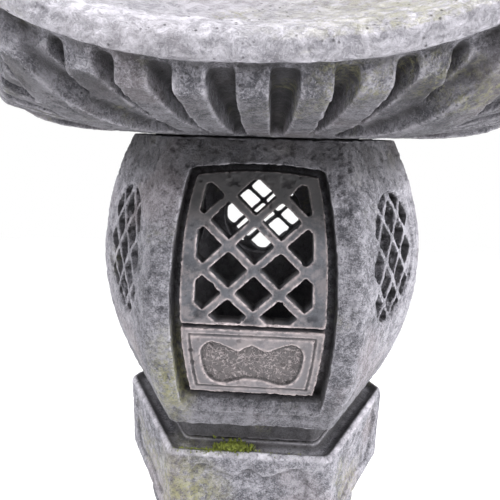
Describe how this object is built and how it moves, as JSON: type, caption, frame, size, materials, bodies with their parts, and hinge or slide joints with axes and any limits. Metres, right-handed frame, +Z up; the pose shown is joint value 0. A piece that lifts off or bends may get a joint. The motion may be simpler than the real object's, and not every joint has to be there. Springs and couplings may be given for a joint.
{
  "type": "stone garden lantern",
  "caption": "Hexagonal stone garden lantern: stacked base, post and platform carry a bulged firebox with pierced windows and a lattice door leaf, under an upturned raftered roof with a finial.",
  "frame": {"origin": "on the ground under the middle of the lantern", "axes": "+Z up along the lantern's axis; the door looks along -Y; +X is to the right when facing the door"},
  "size_m": [0.4434, 0.384, 1.091],
  "materials": {
    "stone_slab": "weathered, rough",
    "stone_base": "weathered, rough",
    "stone_post": "weathered, rough",
    "stone_platform": "weathered, rough",
    "stone_firebox": "weathered, rough",
    "stone_door": "weathered, rough",
    "stone_roof": "weathered, rough",
    "stone_finial": "weathered, rough",
    "dowel_steel": "plain drawn bar",
    "pin_brass": "dull drawn bar",
    "dish_glaze": "brown stoneware glaze"
  },
  "bodies": {
    "stand": {"ground_slab": "stone_slab", "base": "stone_base", "post": "stone_post", "post_dowels": "dowel_steel", "platform": "stone_platform", "firebox": "stone_firebox"},
    "door_leaf": {"door": "stone_door"},
    "roof_body": {"roof": "stone_roof"},
    "finial_body": {"finial": "stone_finial", "finial_pin": "pin_brass"},
    "dish": {"lamp_dish": "dish_glaze"}
  },
  "joints": [
    {"name": "door_draw", "type": "slide", "parent": "stand", "child": "door_leaf", "axis": [0, -1, 0], "range_m": [0, 0.07]},
    {"name": "roof_lift", "type": "slide", "parent": "stand", "child": "roof_body", "axis": [0, 0, 1], "range_m": [0, 0.12]},
    {"name": "finial_lift", "type": "slide", "parent": "roof_body", "child": "finial_body", "axis": [0, 0, 1], "range_m": [0, 0.05]},
    {"name": "dish_lift", "type": "slide", "parent": "stand", "child": "dish", "axis": [0, 0, 1], "range_m": [0, 0.05]}
  ]
}
